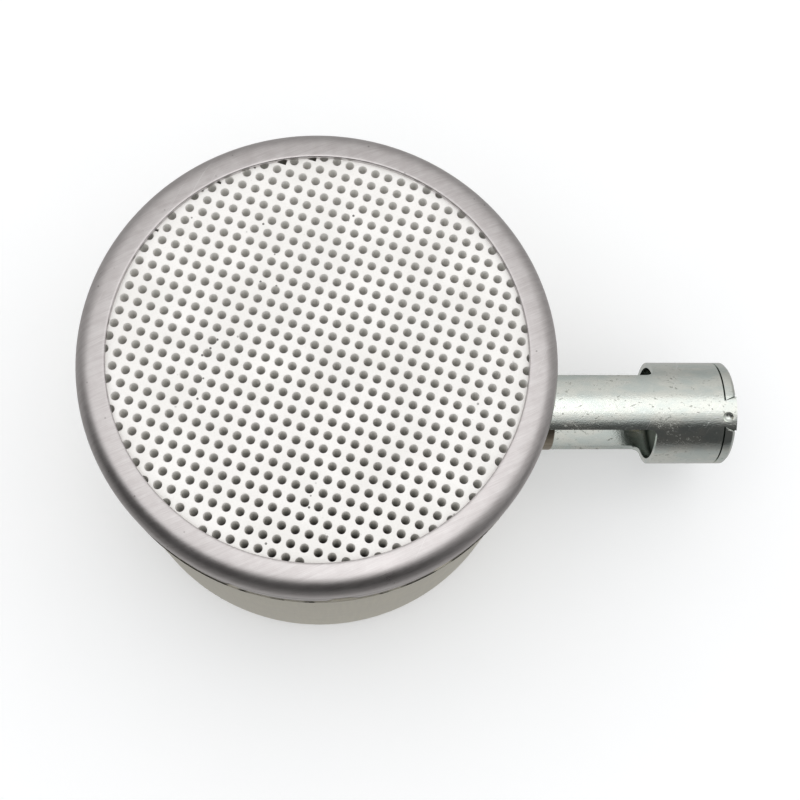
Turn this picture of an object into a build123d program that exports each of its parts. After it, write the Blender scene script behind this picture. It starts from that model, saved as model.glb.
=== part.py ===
from build123d import *

import os
from math import cos, radians, sin, sqrt

# Gas burner head: a round can with a perforated ceramic burning face, held by a
# crimped rim ring, and fed from the side by a windowed air sleeve with a gas jet
# in its far end.
# Origin: centre of the can's flat bottom. +Z points up to the burning face and
# +X points along the air sleeve to the gas inlet. Millimetres.

# ---------------------------------------------------------------- driving sizes
# Head
head_diameter = 64.2  # across the rim ring
sleeve_floor_clearance = 7.0  # can bottom to the underside of the air sleeve
plenum_clearance = 1.4  # backing washer's top to the ledge's skirt

# Rim ring
rim_sheet = 0.6
rim_band_width = 4.2  # from the outside of the skirt to the opening
rim_shoulder_radius = 3.2  # outside radius between the flat and the skirt
rim_skirt_depth = 8.0  # from the top of the ring down
rim_edge_round = 0.2
rim_curl_radius = 0.45  # outside of the skirt's lower edge, where it is crimped in

# Can
can_sheet = 0.6
can_below_rim = 0.4  # how far the can's side lies inside the rim's skirt
can_corner_radius = 3.0
rim_fit_gap = 0.1  # skirt to the stepped-in top of the can, on the radius
can_bead_rise = 0.3  # how far the rolled bead under the ring stands out
can_bead_height = 1.2
can_bead_slope = 0.3  # height of the slope from the can's side to the bead
can_bead_round = 0.55
can_edge_gap = 0.2  # can's top edge to the start of the rim's shoulder
seam_height = 0.2  # open seam between the can's bead and the skirt

# Ceramic plaque
plaque_thickness = 12.5
plaque_chamfer = 0.4
flame_hole_diameter = 1.2
flame_hole_pitch = 1.855
flame_hole_turn = -18.5  # turn of the square hole pattern from +X
flame_hole_shift = (0.6, -1.3)  # place of one hole beside the head's axis
flame_hole_margin = 1.05  # plaque's side to the outermost hole centres

# Seals and ledge
seat_gasket_thickness = 1.5
edge_gasket_thickness = 1.5
edge_gasket_gap = 0.05
edge_gasket_below_rim = 1.5  # rim's flat underside down to the gasket's top
ledge_width = 5.6
ledge_sheet = 0.6
ledge_skirt = 6.0
ledge_fit_gap = 0.05

# Distribution baffle
baffle_ledge_gap = 4.0  # ledge's opening to the baffle's edge
baffle_sheet = 0.8
baffle_clearance = 4.0  # above the mixing tube
baffle_leg_width = 6.0
baffle_foot_length = 4.5
baffle_leg_angles = (60, 180, 300)
baffle_hole_diameter = 3.2
baffle_hole_margin = 7.0  # baffle's edge to the outer ring of holes
baffle_ring_spacing = 7.0  # outer ring to inner ring
baffle_outer_holes = 12
baffle_inner_holes = 6

# Air sleeve
sleeve_reach = 32.0  # from the can's side to the end of the inlet plug
sleeve_diameter = 16.0
sleeve_wall = 0.8
sleeve_hole_gap = 0.05
sleeve_lip_height = 1.2
collar_length = 10.3  # solid wall between the windows and the sleeve's end
window_arm_half_angle = 33.0  # half the arc of each arm that is left standing
window_corner_radius = 1.2
window_start_gap = 0.1

# Backing washer
washer_width = 3.0
washer_thickness = 1.2
washer_wall_gap = 0.02

# Mixing tube
mixing_tube_diameter = 11.6
mixing_tube_wall = 0.6
mixing_tube_mouth = 4.4  # how far the mouth stands out of the can's side
mixing_tube_tail = 12.0  # how far the tube runs past the head's axis
mixing_seat_length = 2.8
mixing_cone_length = 1.9
mixing_seat_gap = 0.03

# Inlet plug
plug_flange_thickness = 1.7
plug_seam = 0.2
plug_body_length = 8.8
plug_body_gap = 0.03
plug_edge_chamfer = 0.5
inlet_thread_minor_diameter = 8.92  # M10x1
inlet_depth = 7.6
inlet_relief_diameter = 9.8  # plain groove around the jet's head, below the thread
inlet_relief_above_jet = 0.4
tongue_angle = 15.0  # from the top towards -Y
tongue_root_width = 4.0
tongue_end_width = 5.2
tongue_gap = 0.08
stake_depth = 0.45
stake_radius = 1.0
stake_setback = 0.3  # from the flange's inner face
stake_offset = 0.55  # sideways from the tongue's middle, towards -Y

# Gas jet, its washer and filter
jet_thread_diameter = 5.0
jet_head_diameter = 8.0
jet_head_length = 2.0
jet_tip_length = 1.4
jet_tip_diameter = 2.4
jet_slot_width = 0.8
jet_slot_depth = 0.7
jet_orifice_diameter = 0.5
jet_passage_diameter = 1.6
jet_orifice_length = 1.0
jet_washer_thickness = 0.4
filter_diameter = 3.0
filter_length = 1.2
jet_fit_gap = 0.02

# ------------------------------------------------------------- what follows
sleeve_radius = sleeve_diameter / 2
sleeve_bore_radius = sleeve_radius - sleeve_wall
sleeve_axis_height = sleeve_floor_clearance + sleeve_radius
washer_radius = sleeve_radius + washer_width

ledge_top = sleeve_axis_height + washer_radius + plenum_clearance + ledge_skirt
plaque_bottom = ledge_top + seat_gasket_thickness
head_height = plaque_bottom + plaque_thickness + rim_sheet
head_radius = head_diameter / 2
rim_underside = head_height - rim_sheet
rim_skirt_bottom = head_height - rim_skirt_depth
can_radius = head_radius - can_below_rim
can_neck_radius = head_radius - rim_sheet - rim_fit_gap
can_inner_radius = can_radius - can_sheet
can_neck_inner_radius = can_neck_radius - can_sheet
can_bead_radius = can_radius + can_bead_rise
can_top = head_height - rim_shoulder_radius - can_edge_gap
can_neck_start = rim_skirt_bottom - seam_height

edge_gasket_radius = can_neck_inner_radius - edge_gasket_gap
plaque_radius = edge_gasket_radius - edge_gasket_thickness
ledge_radius = can_inner_radius - ledge_fit_gap
ledge_opening_radius = ledge_radius - ledge_width
baffle_radius = ledge_opening_radius - baffle_ledge_gap

inlet_end = can_radius + sleeve_reach
flange_start = inlet_end - plug_flange_thickness
sleeve_end = flange_start - plug_seam
washer_front = sqrt(can_inner_radius**2 - washer_radius**2) - washer_wall_gap
washer_back = washer_front - washer_thickness
window_left = can_radius + window_start_gap
window_right = sleeve_end - collar_length

mixing_radius = mixing_tube_diameter / 2
mixing_bore_radius = mixing_radius - mixing_tube_wall
mixing_seat_radius = sleeve_bore_radius - mixing_seat_gap
mouth_end = can_radius + mixing_tube_mouth

plug_body_radius = sleeve_bore_radius - plug_body_gap
plug_inner_end = flange_start - plug_body_length
inlet_floor = inlet_end - inlet_depth
inlet_radius = inlet_thread_minor_diameter / 2

head_axis = Axis.Z
sleeve_axis = Axis((0, 0, sleeve_axis_height), (1, 0, 0))
sleeve_plane = Plane((0, 0, sleeve_axis_height), x_dir=(1, 0, 0), z_dir=(0, -1, 0))


# ------------------------------------------------------------------- helpers
def outline(points, rounds=()):
    """Closed flat outline; rounds holds (corner point, radius) pairs."""
    face = make_face(Polyline(*points, close=True))
    for corner, radius in rounds:
        vertex = face.vertices().sort_by_distance(corner)[0]
        face = fillet(vertex, radius)
    return face


def turned_on_head(points, rounds=()):
    """Turn an outline of (radius, height) points about the head's axis."""
    return revolve(Plane.XZ * outline(points, rounds), head_axis)


def turned_on_sleeve(points, rounds=()):
    """Turn an outline of (distance along X, radius) points about the sleeve's axis."""
    return revolve(sleeve_plane * outline(points, rounds), sleeve_axis)


def along_sleeve(face, start, end):
    """Extrude a face, drawn across the sleeve as (Y, Z), from start to end in X."""
    cross = Plane((start, 0, sleeve_axis_height), x_dir=(0, 1, 0), z_dir=(1, 0, 0))
    return extrude(cross * face, end - start)


def annulus(inner, outer, bottom, top):
    """Flat ring about the head's axis."""
    return turned_on_head([(inner, bottom), (outer, bottom), (outer, top), (inner, top)])


def sleeve_ring(inner, outer, start, end):
    """Plain ring about the sleeve's axis."""
    return turned_on_sleeve([(start, inner), (end, inner), (end, outer), (start, outer)])


# --------------------------------------------------------------------- head
def make_burner_can():
    """Deep-drawn can with a rolled bead, a narrower neck and a hole for the sleeve."""
    bead_bottom = can_neck_start - can_bead_height
    outer = [
        (0, 0),
        (can_radius, 0),
        (can_radius, bead_bottom - can_bead_slope),
        (can_bead_radius, bead_bottom),
        (can_bead_radius, can_neck_start),
        (can_neck_radius, can_neck_start),
        (can_neck_radius, can_top),
    ]
    inner = [
        (can_neck_inner_radius, can_top),
        (can_neck_inner_radius, can_neck_start - can_sheet),
        (can_bead_radius - can_sheet, can_neck_start - can_sheet),
        (can_bead_radius - can_sheet, bead_bottom),
        (can_inner_radius, bead_bottom - can_bead_slope),
        (can_inner_radius, can_sheet),
        (0, can_sheet),
    ]
    rounds = [
        ((can_radius, 0), can_corner_radius),
        ((can_inner_radius, can_sheet), can_corner_radius - can_sheet),
        ((can_bead_radius, can_neck_start), can_bead_round),
        ((can_bead_radius, bead_bottom), can_bead_round),
    ]
    body = turned_on_head(outer + inner, rounds)
    hole = along_sleeve(Circle(sleeve_radius + sleeve_hole_gap), 0, head_radius)
    return body - hole


def make_rim_ring():
    """Pressed ring whose flat holds the plaque and whose skirt covers the neck."""
    opening = head_radius - rim_band_width
    skirt_inner = head_radius - rim_sheet
    points = [
        (opening, head_height),
        (head_radius, head_height),
        (head_radius, rim_skirt_bottom),
        (skirt_inner, rim_skirt_bottom),
        (skirt_inner, rim_underside),
        (opening, rim_underside),
    ]
    rounds = [
        ((head_radius, head_height), rim_shoulder_radius),
        ((skirt_inner, rim_underside), rim_shoulder_radius - rim_sheet),
        ((opening, head_height), rim_edge_round),
        ((head_radius, rim_skirt_bottom), rim_curl_radius),
    ]
    return turned_on_head(points, rounds)


def flame_hole_centres():
    """Square pattern of hole centres inside the round field."""
    turn = radians(flame_hole_turn)
    field_radius = plaque_radius - flame_hole_margin
    reach = int(field_radius / flame_hole_pitch) + 2
    centres = []
    for row in range(-reach, reach + 1):
        for column in range(-reach, reach + 1):
            x = flame_hole_pitch * (column * cos(turn) - row * sin(turn)) + flame_hole_shift[0]
            y = flame_hole_pitch * (column * sin(turn) + row * cos(turn)) + flame_hole_shift[1]
            if x * x + y * y <= field_radius**2:
                centres.append((x, y))
    return centres


def make_ceramic_plaque():
    """Round cordierite plaque, pierced right through by the flame holes."""
    def circle_wire(x, y, radius):
        return Wire([Edge.make_circle(radius, Plane((x, y, plaque_bottom)))])

    holes = [circle_wire(x, y, flame_hole_diameter / 2) for x, y in flame_hole_centres()]
    face = Face(circle_wire(0, 0, plaque_radius), holes)
    plaque = extrude(face, plaque_thickness, dir=(0, 0, 1))
    side_edges = plaque.edges().filter_by(GeomType.CIRCLE).sort_by(lambda edge: edge.radius)[-2:]
    return chamfer(side_edges, plaque_chamfer)


def make_edge_gasket():
    """Ceramic-fibre strip packed between the plaque's side and the can."""
    top = rim_underside - edge_gasket_below_rim
    return annulus(plaque_radius, edge_gasket_radius, plaque_bottom, top)


def make_seat_gasket():
    """Ceramic-fibre washer between the plaque and the ledge."""
    return annulus(ledge_opening_radius, ledge_radius, ledge_top, plaque_bottom)


def make_support_ledge():
    """Pressed angle ring, spot-welded inside the can, that carries the plaque."""
    wall = ledge_radius - ledge_sheet
    points = [
        (ledge_opening_radius, ledge_top),
        (ledge_radius, ledge_top),
        (ledge_radius, ledge_top - ledge_skirt),
        (wall, ledge_top - ledge_skirt),
        (wall, ledge_top - ledge_sheet),
        (ledge_opening_radius, ledge_top - ledge_sheet),
    ]
    return turned_on_head(points, [((ledge_radius, ledge_top), ledge_sheet)])


def make_distribution_baffle():
    """Perforated plate on three bent legs, over the mixing tube."""
    bottom = sleeve_axis_height + mixing_radius + baffle_clearance
    baffle = annulus(0, baffle_radius, bottom, bottom + baffle_sheet)
    outer_ring = baffle_radius - baffle_hole_margin
    inner_ring = outer_ring - baffle_ring_spacing
    hole = Pos(0, 0, bottom) * Cylinder(baffle_hole_diameter / 2, 4 * baffle_sheet)
    places = PolarLocations(outer_ring, baffle_outer_holes), PolarLocations(inner_ring, baffle_inner_holes)
    for ring in places:
        baffle -= [place * hole for place in ring]
    leg_height = bottom + baffle_sheet - can_sheet
    leg = Box(baffle_sheet, baffle_leg_width, leg_height, align=(Align.MAX, Align.CENTER, Align.MIN))
    foot = Box(
        baffle_foot_length, baffle_leg_width, baffle_sheet, align=(Align.MAX, Align.CENTER, Align.MIN)
    )
    for angle in baffle_leg_angles:
        baffle += Rot(0, 0, angle) * Pos(baffle_radius, 0, can_sheet) * (leg + foot)
    return baffle


# ------------------------------------------------------------- air and gas
def tongue_block(root_width, end_width, start):
    """Dovetail prism for one tongue, pointing up, from start to past the inlet end."""
    beyond = 0.5
    outer_width = end_width + beyond * (end_width - root_width) / plug_flange_thickness
    face = outline([
        (start, -root_width / 2),
        (flange_start, -root_width / 2),
        (inlet_end + beyond, -outer_width / 2),
        (inlet_end + beyond, outer_width / 2),
        (flange_start, root_width / 2),
        (start, root_width / 2),
    ])
    return extrude(Pos(0, 0, sleeve_axis_height) * face, sleeve_diameter, dir=(0, 0, 1))


def both_tongues(shape):
    """The shape turned to both tongue places about the sleeve's axis."""
    places = [shape.rotate(sleeve_axis, tongue_angle + turn) for turn in (0, 180)]
    return Part() + places


def make_air_sleeve():
    """Windowed sleeve: lipped root, two arms, solid collar and two staked tongues."""
    lip_end = washer_back - sleeve_wall
    sleeve = turned_on_sleeve([
        (lip_end, sleeve_bore_radius),
        (sleeve_end, sleeve_bore_radius),
        (sleeve_end, sleeve_radius),
        (washer_back, sleeve_radius),
        (washer_back, sleeve_radius + sleeve_lip_height),
        (lip_end, sleeve_radius + sleeve_lip_height),
    ])
    half_gap = radians(90 - window_arm_half_angle)
    far_y = 2 * sleeve_diameter * cos(half_gap)
    far_z = 2 * sleeve_diameter * sin(half_gap)
    wedge = outline([(0, 0), (far_y, -far_z), (far_y, far_z)])
    for turn in (0, 180):
        sleeve -= along_sleeve(Rot(0, 0, turn) * wedge, window_left, window_right)
    collar_corners = [
        edge
        for edge in sleeve.edges().filter_by(GeomType.LINE)
        if abs(edge.center().X - window_right) < 0.01 and abs(edge.length - sleeve_wall) < 0.01
    ]
    sleeve = fillet(collar_corners, window_corner_radius)
    wall = sleeve_ring(sleeve_bore_radius, sleeve_radius, sleeve_end - sleeve_wall, inlet_end)
    tongues = both_tongues(tongue_block(tongue_root_width, tongue_end_width, sleeve_end - sleeve_wall))
    sleeve += wall & tongues
    dent_centre = sleeve_axis_height + sleeve_radius + stake_radius - stake_depth
    dent = Pos(flange_start + stake_setback, -stake_offset, dent_centre) * Sphere(stake_radius)
    return sleeve - both_tongues(dent)


def make_backing_washer():
    """Steel washer behind the can's wall, gripped by the sleeve's rolled lip."""
    bore = sleeve_radius + sleeve_hole_gap
    return sleeve_ring(bore, washer_radius, washer_back, washer_front)


def make_mixing_tube():
    """Thin tube, swelled to fit the sleeve's root, open at both ends."""
    seat_start = washer_back
    seat_end = seat_start + mixing_seat_length
    outer = [
        (-mixing_tube_tail, mixing_radius),
        (seat_start - mixing_cone_length, mixing_radius),
        (seat_start, mixing_seat_radius),
        (seat_end, mixing_seat_radius),
        (seat_end + mixing_cone_length, mixing_radius),
        (mouth_end, mixing_radius),
    ]
    inner = [(x, radius - mixing_tube_wall) for x, radius in reversed(outer)]
    return turned_on_sleeve(outer + inner)


def make_inlet_plug():
    """Turned plug with a flange, a tapped gas inlet and a tapped hole for the jet."""
    jet_hole = jet_thread_diameter / 2
    thread_floor = inlet_floor + jet_washer_thickness + jet_head_length + inlet_relief_above_jet
    plug = turned_on_sleeve([
        (plug_inner_end, jet_hole),
        (inlet_floor, jet_hole),
        (inlet_floor, inlet_relief_diameter / 2),
        (thread_floor, inlet_relief_diameter / 2),
        (thread_floor, inlet_radius),
        (inlet_end, inlet_radius),
        (inlet_end, sleeve_radius - plug_edge_chamfer),
        (inlet_end - plug_edge_chamfer, sleeve_radius),
        (flange_start, sleeve_radius),
        (flange_start, plug_body_radius),
        (plug_inner_end, plug_body_radius),
    ])
    notch_start = flange_start - plug_seam
    notches = both_tongues(
        tongue_block(tongue_root_width + 2 * tongue_gap, tongue_end_width + 2 * tongue_gap, notch_start)
    )
    outside = sleeve_ring(plug_body_radius, sleeve_diameter, notch_start, inlet_end + plug_flange_thickness)
    return plug - (notches & outside)


def make_gas_jet():
    """Brass jet: slotted head, threaded shank, cone tip and a stepped passage."""
    head_start = inlet_floor + jet_washer_thickness
    head_end = head_start + jet_head_length
    tip_end = plug_inner_end - jet_tip_length
    shank = jet_thread_diameter / 2
    filter_seat = head_end - jet_slot_depth - filter_length
    jet = turned_on_sleeve([
        (tip_end, jet_orifice_diameter / 2),
        (tip_end, jet_tip_diameter / 2),
        (plug_inner_end, shank - jet_fit_gap),
        (head_start, shank - jet_fit_gap),
        (head_start, jet_head_diameter / 2),
        (head_end, jet_head_diameter / 2),
        (head_end, filter_diameter / 2),
        (filter_seat, filter_diameter / 2),
        (filter_seat, jet_passage_diameter / 2),
        (tip_end + jet_orifice_length, jet_passage_diameter / 2),
        (tip_end + jet_orifice_length, jet_orifice_diameter / 2),
    ])
    slot = Pos(head_end, 0, sleeve_axis_height) * Box(2 * jet_slot_depth, sleeve_diameter, jet_slot_width)
    return jet - slot


def make_jet_washer():
    """Soft sealing washer under the jet's head."""
    return sleeve_ring(
        jet_thread_diameter / 2, jet_head_diameter / 2, inlet_floor, inlet_floor + jet_washer_thickness
    )


def make_jet_filter():
    """Sintered bronze filter pellet pressed into the jet's head."""
    end = inlet_floor + jet_washer_thickness + jet_head_length - jet_slot_depth
    pellet = outline([
        (end - filter_length, 0),
        (end, 0),
        (end, filter_diameter / 2),
        (end - filter_length, filter_diameter / 2),
    ])
    return revolve(sleeve_plane * pellet, sleeve_axis)


nodes = {
    "burner_can": make_burner_can,
    "rim_ring": make_rim_ring,
    "ceramic_plaque": make_ceramic_plaque,
    "edge_gasket": make_edge_gasket,
    "seat_gasket": make_seat_gasket,
    "support_ledge": make_support_ledge,
    "distribution_baffle": make_distribution_baffle,
    "air_sleeve": make_air_sleeve,
    "backing_washer": make_backing_washer,
    "mixing_tube": make_mixing_tube,
    "inlet_plug": make_inlet_plug,
    "gas_jet": make_gas_jet,
    "jet_washer": make_jet_washer,
    "jet_filter": make_jet_filter,
}

os.makedirs("parts", exist_ok=True)
for name, make in nodes.items():
    export_step(make(), f"parts/{name}.step")
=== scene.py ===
import logging
import math
import random
from dataclasses import dataclass
from enum import Enum
from typing import Callable, Sequence

import bmesh
import bpy
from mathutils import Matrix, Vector


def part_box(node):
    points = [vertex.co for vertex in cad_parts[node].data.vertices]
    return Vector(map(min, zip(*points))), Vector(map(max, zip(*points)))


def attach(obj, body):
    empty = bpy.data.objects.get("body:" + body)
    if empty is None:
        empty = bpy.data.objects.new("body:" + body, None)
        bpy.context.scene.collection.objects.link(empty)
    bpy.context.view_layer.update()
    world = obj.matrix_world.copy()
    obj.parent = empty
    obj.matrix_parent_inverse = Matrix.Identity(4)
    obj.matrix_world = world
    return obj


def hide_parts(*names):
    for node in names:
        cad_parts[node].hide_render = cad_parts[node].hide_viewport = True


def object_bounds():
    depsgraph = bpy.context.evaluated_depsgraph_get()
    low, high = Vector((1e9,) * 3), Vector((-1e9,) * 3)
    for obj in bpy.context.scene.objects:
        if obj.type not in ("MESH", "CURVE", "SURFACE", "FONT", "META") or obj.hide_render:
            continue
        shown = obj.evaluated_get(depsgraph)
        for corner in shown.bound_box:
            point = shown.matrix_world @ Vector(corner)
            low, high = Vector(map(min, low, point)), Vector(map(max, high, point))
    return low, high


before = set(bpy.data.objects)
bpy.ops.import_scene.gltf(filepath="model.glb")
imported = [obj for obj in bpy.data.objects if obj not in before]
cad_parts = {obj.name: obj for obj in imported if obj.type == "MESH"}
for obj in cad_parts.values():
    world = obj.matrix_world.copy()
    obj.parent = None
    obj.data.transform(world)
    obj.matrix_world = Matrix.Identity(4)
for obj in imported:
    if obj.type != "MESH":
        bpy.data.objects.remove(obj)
CAD_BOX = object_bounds()

MM = 0.001
SLEEVE_REACH = 32.0  # millimetres from the can's side to the end of the plug
BODY = "root"
LOG = logging.getLogger("burner_head")


# ------------------------------------------------------------------ modelling
class Pick(Enum):
    """What kind of mesh element a selection takes."""

    VERTS = "VERT"
    EDGES = "EDGE"
    FACES = "FACE"


@dataclass(frozen=True)
class Corner:
    """One corner of a section, in millimetres, with an optional round.

    along is the place along the turning axis, out is the distance from it.
    """

    along: float
    out: float
    round: float = 0.0
    steps: int = 4


@dataclass(frozen=True)
class Spindle:
    """An axis that a section is turned about."""

    origin: tuple[float, float, float]
    along: tuple[float, float, float]
    out: tuple[float, float, float]

    def place(self, corner: Corner) -> Vector:
        """World place, in metres, of a corner of the section."""
        step = Vector(self.along) * corner.along + Vector(self.out) * corner.out
        return Vector(self.origin) + step * MM


class Bench:
    """Modelling moves that every piece shares."""

    TINY = 1e-7

    @staticmethod
    def clear() -> None:
        """Leave edit mode and deselect everything."""
        if bpy.context.object and bpy.context.object.mode != "OBJECT":
            bpy.ops.object.mode_set(mode="OBJECT")
        bpy.ops.object.select_all(action="DESELECT")

    @staticmethod
    def take(piece: bpy.types.Object) -> bpy.types.Object:
        """Make one piece the selected and active object.

        Args:
            piece: The object to work on.

        Returns:
            The same object.
        """
        Bench.clear()
        piece.select_set(True)
        bpy.context.view_layer.objects.active = piece
        return piece

    @staticmethod
    def edit(kind: Pick = Pick.VERTS) -> None:
        """Enter edit mode on the active object with nothing selected."""
        bpy.ops.object.mode_set(mode="EDIT")
        bpy.ops.mesh.select_mode(type=kind.value)
        bpy.ops.mesh.select_all(action="DESELECT")

    @staticmethod
    def done() -> bpy.types.Object:
        """Leave edit mode and return the active object."""
        bpy.ops.object.mode_set(mode="OBJECT")
        return bpy.context.object

    @staticmethod
    def pick(kind: Pick, test: Callable[[object], bool]) -> None:
        """Select the mesh elements that pass a test, in edit mode.

        Args:
            kind: Vertices, edges or faces.
            test: Takes a bmesh element and says whether it is wanted.
        """
        bpy.ops.mesh.select_mode(type=kind.value)
        bpy.ops.mesh.select_all(action="DESELECT")
        mesh = bpy.context.object.data
        work = bmesh.from_edit_mesh(mesh)
        groups = {Pick.VERTS: work.verts, Pick.EDGES: work.edges, Pick.FACES: work.faces}
        for item in groups[kind]:
            if test(item):
                item.select_set(True)
        work.select_flush_mode()
        bmesh.update_edit_mesh(mesh)

    @staticmethod
    def start_point(name: str, place: Vector) -> bpy.types.Object:
        """Start a piece from a small plane merged to one vertex, and stay in edit mode.

        Args:
            name: The new object's name.
            place: Where the vertex goes, in metres.

        Returns:
            The new object, with its one vertex selected.
        """
        Bench.clear()
        bpy.ops.mesh.primitive_plane_add(size=MM, location=(0, 0, 0))
        piece = bpy.context.object
        piece.name = name
        piece.data.name = name
        bpy.ops.object.mode_set(mode="EDIT")
        bpy.ops.mesh.select_mode(type="VERT")
        bpy.ops.mesh.select_all(action="SELECT")
        bpy.ops.mesh.merge(type="CENTER")
        bpy.ops.transform.translate(value=place)
        return piece

    @staticmethod
    def draw(name: str, corners: Sequence[Corner], spindle: Spindle) -> bpy.types.Object:
        """Draw a closed flat section by extruding a vertex from corner to corner.

        Args:
            name: The new object's name.
            corners: The section's corners in order.
            spindle: The axes that the corners are measured on.

        Returns:
            The new object, in edit mode, holding one filled face.
        """
        places = [spindle.place(corner) for corner in corners]
        piece = Bench.start_point(name, places[0])
        for before, after in zip(places, places[1:]):
            bpy.ops.mesh.extrude_region_move(TRANSFORM_OT_translate={"value": after - before})
        bpy.ops.mesh.select_all(action="SELECT")
        bpy.ops.mesh.edge_face_add()
        for corner, place in zip(corners, places):
            if corner.round:
                Bench.pick(Pick.VERTS, lambda v, at=place: (v.co - at).length < Bench.TINY * 10)
                bpy.ops.mesh.bevel(
                    offset=corner.round * MM, segments=corner.steps, affect="VERTICES", clamp_overlap=False
                )
        return piece

    @staticmethod
    def turn(
        name: str, corners: Sequence[Corner], spindle: Spindle, steps: int = 96, sharp: float = 32.0
    ) -> bpy.types.Object:
        """Draw a section and spin it right round into a closed, smooth-shaded piece.

        Args:
            name: The new object's name.
            corners: The section's corners in order.
            spindle: The axis to spin about.
            steps: How many steps the turn has.
            sharp: Edges flatter than this angle, in degrees, are shaded smooth.

        Returns:
            The new object, in object mode.
        """
        Bench.draw(name, corners, spindle)
        bpy.ops.mesh.select_all(action="SELECT")
        bpy.ops.mesh.delete(type="ONLY_FACE")
        bpy.ops.mesh.select_all(action="SELECT")
        bpy.ops.mesh.spin(
            steps=steps, angle=2 * math.pi, center=spindle.origin, axis=spindle.along, use_auto_merge=True
        )
        return Bench.tidy(sharp)

    @staticmethod
    def prism(
        name: str, corners: Sequence[Corner], spindle: Spindle, depth: Vector
    ) -> bpy.types.Object:
        """Draw a section and pull it straight into a closed block.

        Args:
            name: The new object's name.
            corners: The section's corners in order.
            spindle: The axes that the corners are measured on.
            depth: How far and where the face is pulled, in metres.

        Returns:
            The new object, in object mode.
        """
        Bench.draw(name, corners, spindle)
        bpy.ops.mesh.select_all(action="SELECT")
        bpy.ops.mesh.extrude_region_move(TRANSFORM_OT_translate={"value": depth})
        return Bench.tidy()

    @staticmethod
    def tidy(sharp: float = 32.0) -> bpy.types.Object:
        """Merge doubles, point the faces outwards and shade by angle.

        Args:
            sharp: Edges flatter than this angle, in degrees, are shaded smooth.

        Returns:
            The active object, in object mode.
        """
        if bpy.context.object.mode != "EDIT":
            bpy.ops.object.mode_set(mode="EDIT")
        bpy.ops.mesh.select_all(action="SELECT")
        bpy.ops.mesh.remove_doubles(threshold=1e-6)
        bpy.ops.mesh.normals_make_consistent(inside=False)
        piece = Bench.done()
        Bench.take(piece)
        bpy.ops.object.shade_smooth_by_angle(angle=math.radians(sharp))
        return piece

    @staticmethod
    def apply(piece: bpy.types.Object, kind: str, **settings: object) -> None:
        """Add a modifier with these settings and apply it at once.

        Args:
            piece: The object that takes the modifier.
            kind: The modifier's type.
            **settings: Values for the modifier's own fields.
        """
        Bench.take(piece)
        modifier = piece.modifiers.new(kind.title(), kind)
        for field_name, value in settings.items():
            setattr(modifier, field_name, value)
        bpy.ops.object.modifier_apply(modifier=modifier.name)

    @staticmethod
    def cut(piece: bpy.types.Object, cutter: bpy.types.Object) -> None:
        """Cut one closed piece out of another, and delete the cutter.

        Args:
            piece: The object that is cut.
            cutter: The object that is taken away.
        """
        Bench.apply(piece, "BOOLEAN", operation="DIFFERENCE", solver="EXACT", object=cutter)
        bpy.data.objects.remove(cutter, do_unlink=True)

    @staticmethod
    def soften(piece: bpy.types.Object, width: float, steps: int = 2, angle: float = 35.0) -> None:
        """Round every sharp edge of a piece a little.

        Args:
            piece: The object to soften.
            width: Width of the round, in millimetres.
            steps: Segments across the round.
            angle: Edges sharper than this, in degrees, are rounded.
        """
        Bench.apply(
            piece,
            "BEVEL",
            width=width * MM,
            segments=steps,
            limit_method="ANGLE",
            angle_limit=math.radians(angle),
            use_clamp_overlap=True,
            miter_outer="MITER_ARC",
            harden_normals=False,
        )
        Bench.shade(piece, angle)

    @staticmethod
    def shade(piece: bpy.types.Object, angle: float) -> None:
        """Shade a cut piece by angle, with its normals set by the larger faces.

        Args:
            piece: The object to shade.
            angle: Edges flatter than this, in degrees, are shaded smooth.
        """
        Bench.take(piece)
        bpy.ops.object.shade_smooth_by_angle(angle=math.radians(angle))
        Bench.apply(piece, "WEIGHTED_NORMAL", mode="FACE_AREA", weight=90, keep_sharp=True)


# -------------------------------------------------------------------- shading
class Sock:
    """A shader socket that takes part in Python sums."""

    def __init__(self, shader: "Shader", socket: bpy.types.NodeSocket) -> None:
        """Wrap a node's output socket.

        Args:
            shader: The shader that the socket belongs to.
            socket: The output socket.
        """
        self.shader = shader
        self.socket = socket

    def _math(self, operation: str, first: object, second: object = None) -> "Sock":
        """Add a Math node and return its value."""
        inputs = {0: first} if second is None else {0: first, 1: second}
        return self.shader.add("ShaderNodeMath", {"operation": operation}, inputs)["Value"]

    def __add__(self, other: object) -> "Sock":
        """self + other."""
        return self._math("ADD", self, other)

    __radd__ = __add__

    def __mul__(self, other: object) -> "Sock":
        """self * other."""
        return self._math("MULTIPLY", self, other)

    __rmul__ = __mul__

    def __sub__(self, other: object) -> "Sock":
        """self - other."""
        return self._math("SUBTRACT", self, other)

    def __rsub__(self, other: object) -> "Sock":
        """other - self."""
        return self._math("SUBTRACT", other, self)

    def __truediv__(self, other: object) -> "Sock":
        """self / other."""
        return self._math("DIVIDE", self, other)

    def __pow__(self, other: object) -> "Sock":
        """self raised to other."""
        return self._math("POWER", self, other)

    def least(self, other: object) -> "Sock":
        """The smaller of self and other."""
        return self._math("MINIMUM", self, other)

    def most(self, other: object) -> "Sock":
        """The larger of self and other."""
        return self._math("MAXIMUM", self, other)

    def step(self, low: float, high: float, to_low: float = 0.0, to_high: float = 1.0) -> "Sock":
        """Smooth step of self from low to high.

        Args:
            low: Value where the step starts.
            high: Value where the step ends.
            to_low: Result at and below low.
            to_high: Result at and above high.

        Returns:
            The stepped value.
        """
        flipped = low > high
        inputs = {
            "Value": self,
            "From Min": min(low, high),
            "From Max": max(low, high),
            "To Min": to_high if flipped else to_low,
            "To Max": to_low if flipped else to_high,
        }
        return self.shader.add("ShaderNodeMapRange", {"interpolation_type": "SMOOTHSTEP"}, inputs)["Result"]


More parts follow.
